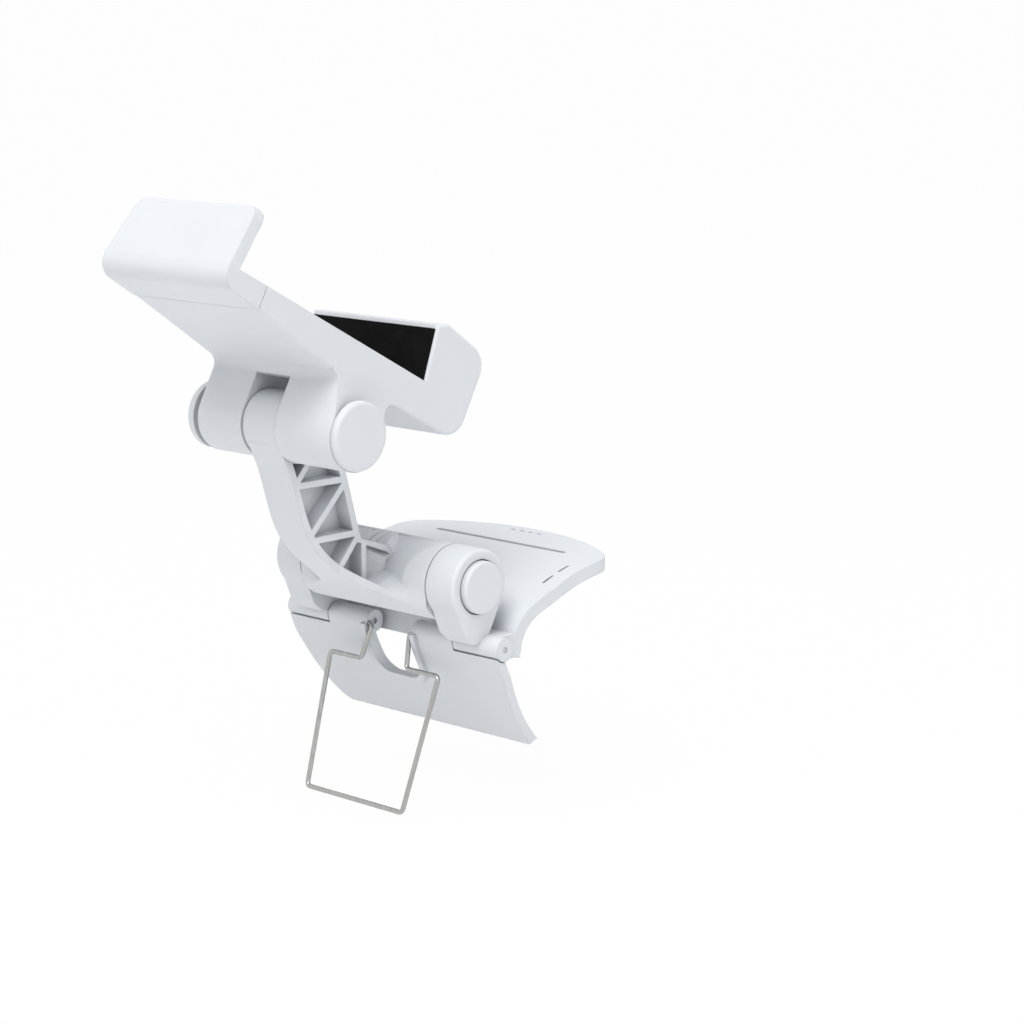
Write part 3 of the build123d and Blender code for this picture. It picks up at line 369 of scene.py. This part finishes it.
def make_flank():
    """Both sides' flanks as closed skins in one mesh."""
    spots, turns, radii = grid_radii()
    points = []
    faces = []
    for side in (1, -1):
        made = skin_faces(len(points), len(spots), len(turns))
        faces += made if side > 0 else [tuple(reversed(face)) for face in made]
        for skin in (0.0, SKIN):
            for x, row in zip(spots, radii):
                points += [flank_point(side * x, turn, radius - skin)
                           for turn, radius in zip(turns, row)]
    mesh = bpy.data.meshes.new("arm_flank")
    mesh.from_pydata(points, [], faces)
    mesh.materials.append(white_plastic)
    for face in mesh.polygons:
        face.use_smooth = True
    flank = bpy.data.objects.new("arm_flank", mesh)
    scene.collection.objects.link(flank)
    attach(flank, "arm")


make_flank()


# Floor and backdrop in one sweep, and the white world. The floor lies just below the wire
# stand's foot where it hangs straight down.

FLOOR_Z = -0.0448
SWEEP_HALF = 6.0
SWEEP_SEEN = 0.97
VIEW_AZIMUTH = math.radians(43.5)
VIEW_ELEVATION = math.radians(10.9)


def sweep_points(depth, height, radius, steps):
    """Side view of a floor that curves up into a backdrop."""
    line = [(-depth, 0.0)]
    for step in range(steps + 1):
        angle = math.pi / 2 * step / steps
        line.append((depth - radius + radius * math.sin(angle), radius - radius * math.cos(angle)))
    line.append((depth, height))
    return line


def make_sweep(floor_z, facing):
    """A wide white sweep behind and below the object, facing the camera."""
    mesh = bpy.data.meshes.new("studio_sweep")
    line = sweep_points(depth=4.0, height=5.0, radius=2.5, steps=24)
    points = []
    faces = []
    for index, (along, z) in enumerate(line):
        for side in (-SWEEP_HALF, SWEEP_HALF):
            points.append((side, along, z))
        if index:
            first = 2 * index - 2
            faces.append((first, first + 1, first + 3, first + 2))
    mesh.from_pydata(points, [], faces)
    for face in mesh.polygons:
        face.use_smooth = True
    sweep = bpy.data.objects.new("studio_sweep", mesh)
    sweep.location = (0.0, 0.0, floor_z)
    sweep.rotation_euler = (0.0, 0.0, facing)
    scene.collection.objects.link(sweep)
    return sweep


def seen_share(tree, share):
    """A share for what the camera and reflections see, and nothing for the light it gives."""
    path = tree.nodes.new("ShaderNodeLightPath")
    either = tree.nodes.new("ShaderNodeMath")
    either.operation = "MAXIMUM"
    tree.links.new(path.outputs["Is Camera Ray"], either.inputs[0])
    tree.links.new(path.outputs["Is Glossy Ray"], either.inputs[1])
    scaled = tree.nodes.new("ShaderNodeMath")
    scaled.operation = "MULTIPLY"
    scaled.inputs[1].default_value = share
    tree.links.new(either.outputs["Value"], scaled.inputs[0])
    return scaled.outputs["Value"]


def sweep_material():
    """Pale paper that shows white to the camera and still takes a soft shadow."""
    made, tree, shader = new_material("pale_paper", (0.9, 0.9, 0.9))
    shader.inputs["Roughness"].default_value = 0.9
    shader.inputs["Specular IOR Level"].default_value = 0.0
    glow = tree.nodes.new("ShaderNodeEmission")
    glow.inputs["Strength"].default_value = 1.0
    mix = tree.nodes.new("ShaderNodeMixShader")
    tree.links.new(seen_share(tree, SWEEP_SEEN), mix.inputs["Fac"])
    tree.links.new(shader.outputs["BSDF"], mix.inputs[1])
    tree.links.new(glow.outputs["Emission"], mix.inputs[2])
    out = tree.nodes["Material Output"]
    tree.links.new(mix.outputs["Shader"], out.inputs["Surface"])
    return made


studio = make_sweep(FLOOR_Z, VIEW_AZIMUTH)
studio.data.materials.append(sweep_material())


def make_world(light):
    """A white world: it lights the object evenly, and shows as white to the camera."""
    world = bpy.data.worlds.new("studio")
    world.use_nodes = True
    scene.world = world
    tree = world.node_tree
    background = tree.nodes["Background"]
    background.inputs["Color"].default_value = (1.0, 1.0, 1.0, 1.0)
    strength = tree.nodes.new("ShaderNodeMath")
    strength.operation = "ADD"
    strength.inputs[1].default_value = light
    tree.links.new(seen_share(tree, 1.0 - light), strength.inputs[0])
    tree.links.new(strength.outputs["Value"], background.inputs["Strength"])


make_world(light=0.46)


# Lamps

def soft_lamp(name, azimuth, elevation, distance, size, power):
    """A square soft box that looks at the object; azimuth is measured like the camera's."""
    lamp = bpy.data.lights.new(name, "AREA")
    lamp.shape = "SQUARE"
    lamp.size = size
    lamp.energy = power
    thing = bpy.data.objects.new(name, lamp)
    turn = math.radians(azimuth)
    lift = math.radians(elevation)
    centre = (cad_low + cad_high) / 2
    back = Vector((math.sin(turn) * math.cos(lift), -math.cos(turn) * math.cos(lift),
                   math.sin(lift)))
    thing.location = centre + back * distance
    thing.rotation_mode = "QUATERNION"
    thing.rotation_quaternion = (-back).to_track_quat("-Z", "Y")
    scene.collection.objects.link(thing)


soft_lamp("key_lamp", azimuth=25.0, elevation=58.0, distance=1.6, size=1.0, power=14.0)
soft_lamp("top_lamp", azimuth=0.0, elevation=80.0, distance=1.6, size=1.2, power=5.0)
soft_lamp("side_lamp", azimuth=95.0, elevation=22.0, distance=1.8, size=1.0, power=4.2)


# Camera, worked out from the photograph: its size and focal length in pixels, its distance
# from the origin in metres, and the pixel where the origin lies

PHOTO_SIZE = 1024.0
FOCAL_LENGTH = 2750.0
DISTANCE = 0.690
ORIGIN_SEEN = (397.0, 625.7)
SENSOR = 36.0


def make_camera():
    """The camera at the photograph's viewing point."""
    forward = Vector((-math.sin(VIEW_AZIMUTH) * math.cos(VIEW_ELEVATION),
                      math.cos(VIEW_AZIMUTH) * math.cos(VIEW_ELEVATION),
                      -math.sin(VIEW_ELEVATION)))
    right = Vector((math.cos(VIEW_AZIMUTH), math.sin(VIEW_AZIMUTH), 0.0))
    up = right.cross(forward)
    offset_right = (ORIGIN_SEEN[0] - PHOTO_SIZE / 2) / FOCAL_LENGTH
    offset_up = (PHOTO_SIZE / 2 - ORIGIN_SEEN[1]) / FOCAL_LENGTH
    place = -(forward + right * offset_right + up * offset_up) * DISTANCE
    lens = bpy.data.cameras.new("view")
    lens.sensor_width = SENSOR
    lens.lens = FOCAL_LENGTH / PHOTO_SIZE * SENSOR
    lens.clip_start = 0.01
    lens.clip_end = 20.0
    thing = bpy.data.objects.new("view", lens)
    turned = Matrix((right, up, -forward)).transposed()
    thing.matrix_world = Matrix.Translation(place) @ turned.to_4x4()
    scene.collection.objects.link(thing)
    scene.camera = thing


make_camera()
scene.view_settings.view_transform = "Standard"

bpy.context.view_layer.update()
